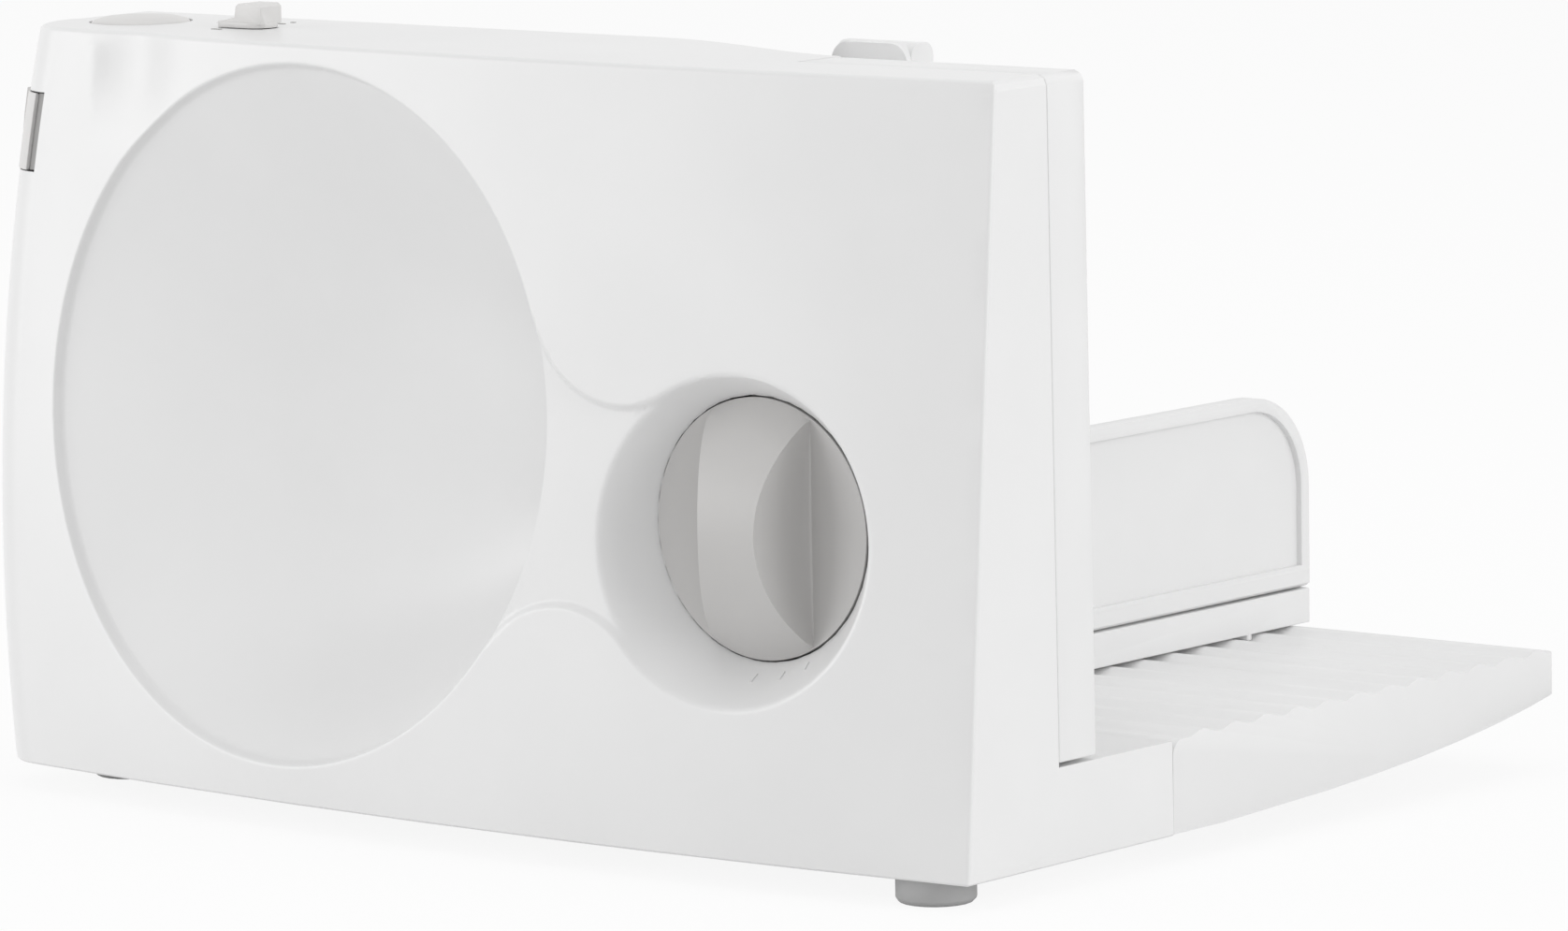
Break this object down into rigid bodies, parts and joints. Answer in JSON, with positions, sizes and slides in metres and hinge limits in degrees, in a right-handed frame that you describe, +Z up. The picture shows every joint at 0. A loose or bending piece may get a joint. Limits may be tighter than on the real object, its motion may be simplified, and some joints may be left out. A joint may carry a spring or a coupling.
{
  "type": "food slicer",
  "caption": "Folding electric food slicer: white housing with a slice bowl and thickness knob, round steel blade, sliding stop plate, fold-up ribbed table, carriage with food holder.",
  "frame": {"origin": "centre of the bounding box in plan, at floor level", "axes": "+X along the front face to the carriage end, +Y from the front face to the table, +Z up"},
  "size_m": [0.3376, 0.2562, 0.2047],
  "materials": {
    "shell": "white moulded plastic, soft gloss",
    "grey": "light warm grey plastic, satin",
    "rubber": "grey soft rubber",
    "steel": "fine turned stainless steel",
    "brass": "plain machined",
    "dark": "black matt plastic",
    "nylon": "natural nylon",
    "clear": "frosted clear plastic"
  },
  "bodies": {
    "machine": {"front_housing": "shell", "drive_plate": "shell", "blade_guard": "shell", "bottom_plate": "shell", "foot_1": "rubber", "foot_2": "rubber", "foot_3": "rubber", "foot_4": "rubber", "bottom_screw_1": "steel", "bottom_screw_2": "steel", "bottom_screw_3": "steel", "bottom_screw_4": "steel", "axle_bush": "brass", "motor_can": "steel", "motor_cap": "dark", "motor_bracket": "dark", "motor_screw_1": "steel", "motor_screw_2": "steel", "worm_bearing": "brass", "power_switch": "dark", "push_button_spring": "steel", "side_button_spring": "steel", "cord_gland": "dark"},
    "blade_set": {"blade": "steel", "blade_axle": "steel", "drive_gear": "nylon"},
    "blade_lock": {"blade_lock": "grey"},
    "worm_set": {"worm": "brass", "motor_shaft": "steel"},
    "knob_set": {"thickness_knob": "grey", "cam_spindle": "nylon", "spindle_clip": "steel"},
    "stop_set": {"stop_plate": "shell", "guide_rod_1": "steel", "guide_rod_2": "steel", "cam_nut": "nylon"},
    "table_set": {"folding_table": "shell", "table_foot_1": "rubber", "table_foot_2": "rubber", "hinge_pin_1": "steel", "hinge_pin_2": "steel"},
    "carriage": {"carriage_base": "shell", "carriage_wall_pin": "steel"},
    "wall": {"carriage_wall": "shell"},
    "shoe": {"holder_shoe": "clear", "holder_pin": "steel"},
    "holder": {"food_holder": "clear"},
    "push_button": {"push_button": "grey"},
    "side_button": {"side_button": "grey"},
    "lever": {"mode_lever": "grey"}
  },
  "joints": [
    {"name": "blade_spin", "type": "hinge", "parent": "machine", "child": "blade_set", "pos_m": [-0.0509, -0.0558, 0.104], "axis": [0, 1, 0], "continuous": true},
    {"name": "worm_spin", "type": "hinge", "parent": "machine", "child": "worm_set", "pos_m": [-0.1024, -0.0787, 0.104], "axis": [0, 0, 1], "continuous": true},
    {"name": "blade_lock_turn", "type": "hinge", "parent": "blade_set", "child": "blade_lock", "pos_m": [-0.0509, -0.0522, 0.104], "axis": [0, 1, 0], "range_deg": [0, 90]},
    {"name": "knob_turn", "type": "hinge", "parent": "machine", "child": "knob_set", "pos_m": [0.0963, -0.1091, 0.0853], "axis": [0, 1, 0], "range_deg": [0, 270]},
    {"name": "stop_slide", "type": "slide", "parent": "machine", "child": "stop_set", "axis": [0, 1, 0], "range_m": [0, 0.0158]},
    {"name": "table_fold", "type": "hinge", "parent": "machine", "child": "table_set", "pos_m": [0, -0.0365, 0.0263], "axis": [1, 0, 0], "range_deg": [0, 90]},
    {"name": "carriage_slide", "type": "slide", "parent": "table_set", "child": "carriage", "axis": [1, 0, 0], "range_m": [-0.105, 0.08]},
    {"name": "wall_fold", "type": "hinge", "parent": "carriage", "child": "wall", "pos_m": [0.0902, 0.0518, 0.0435], "axis": [0, 1, 0], "range_deg": [0, 90]},
    {"name": "holder_slide", "type": "slide", "parent": "carriage", "child": "shoe", "axis": [0, 1, 0], "range_m": [-0.012, 0.1]},
    {"name": "holder_tilt", "type": "hinge", "parent": "shoe", "child": "holder", "pos_m": [0.0548, -0.0082, 0.04], "axis": [1, 0, 0], "range_deg": [-90, 0]},
    {"name": "push_button_press", "type": "slide", "parent": "machine", "child": "push_button", "axis": [0, 0, -1], "range_m": [0, 0.003], "stiffness_N_per_m": 300, "deforming": ["push_button_spring"]},
    {"name": "side_button_press", "type": "slide", "parent": "machine", "child": "side_button", "axis": [1, 0, 0], "range_m": [0, 0.003], "stiffness_N_per_m": 300, "deforming": ["side_button_spring"]},
    {"name": "mode_lever_slide", "type": "slide", "parent": "machine", "child": "lever", "axis": [1, 0, 0], "range_m": [0, 0.005]}
  ],
  "couplings": [
    {"joint": "worm_spin", "follows": "blade_spin", "ratio": -50},
    {"joint": "stop_slide", "follows": "knob_turn", "m_per_rad": 0.0033529},
    {"joint": "wall_fold", "follows": "table_fold", "ratio": 1},
    {"joint": "holder_tilt", "follows": "table_fold", "ratio": -1}
  ]
}
